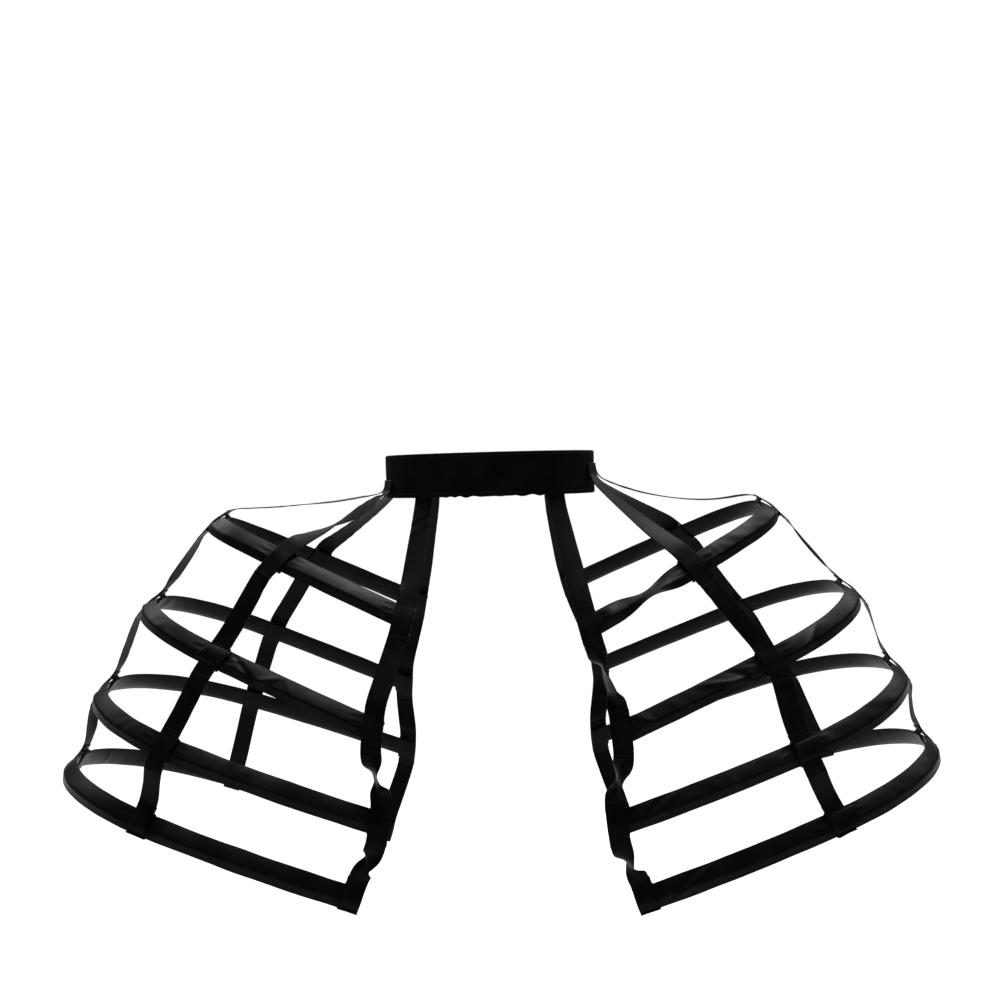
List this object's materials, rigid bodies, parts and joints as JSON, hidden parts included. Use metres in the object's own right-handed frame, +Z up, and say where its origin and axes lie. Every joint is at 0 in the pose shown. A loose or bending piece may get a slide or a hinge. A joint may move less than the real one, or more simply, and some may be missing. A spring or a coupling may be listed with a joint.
{
  "type": "crinoline cage",
  "caption": "Open double pannier cage of flat fabric-covered hoops hung by tapes at each hip from one waistband.",
  "frame": {"origin": "centre of the waist opening, half way up the waistband", "axes": "+Z up along the waist opening, -Y the wearer's front, +X the wearer's left, out through the left cage"},
  "size_m": [1.0383, 0.4029, 0.5212],
  "materials": {
    "band_fabric": "matte woven",
    "casing_satin": "soft satin",
    "tape_satin": "soft satin, woven",
    "bone_plastic": "satin",
    "tip_metal": "satin"
  },
  "bodies": {
    "root": {"left_bone_1": "bone_plastic", "left_bone_2": "bone_plastic", "left_bone_3": "bone_plastic", "left_bone_4": "bone_plastic", "left_bone_tips_1": "tip_metal", "left_bone_tips_2": "tip_metal", "left_bone_tips_3": "tip_metal", "left_bone_tips_4": "tip_metal", "left_casing_1": "casing_satin", "left_casing_2": "casing_satin", "left_casing_3": "casing_satin", "left_casing_4": "casing_satin", "left_keepers_back_inner": "tape_satin", "left_keepers_back_outer": "tape_satin", "left_keepers_front_inner": "tape_satin", "left_keepers_front_outer": "tape_satin", "left_keepers_side": "tape_satin", "left_tape_back_inner": "tape_satin", "left_tape_back_outer": "tape_satin", "left_tape_front_inner": "tape_satin", "left_tape_front_outer": "tape_satin", "left_tape_side": "tape_satin", "right_bone_1": "bone_plastic", "right_bone_2": "bone_plastic", "right_bone_3": "bone_plastic", "right_bone_4": "bone_plastic", "right_bone_tips_1": "tip_metal", "right_bone_tips_2": "tip_metal", "right_bone_tips_3": "tip_metal", "right_bone_tips_4": "tip_metal", "right_casing_1": "casing_satin", "right_casing_2": "casing_satin", "right_casing_3": "casing_satin", "right_casing_4": "casing_satin", "right_keepers_back_inner": "tape_satin", "right_keepers_back_outer": "tape_satin", "right_keepers_front_inner": "tape_satin", "right_keepers_front_outer": "tape_satin", "right_keepers_side": "tape_satin", "right_tape_back_inner": "tape_satin", "right_tape_back_outer": "tape_satin", "right_tape_front_inner": "tape_satin", "right_tape_front_outer": "tape_satin", "right_tape_side": "tape_satin", "waistband": "band_fabric"}
  },
  "joints": []
}
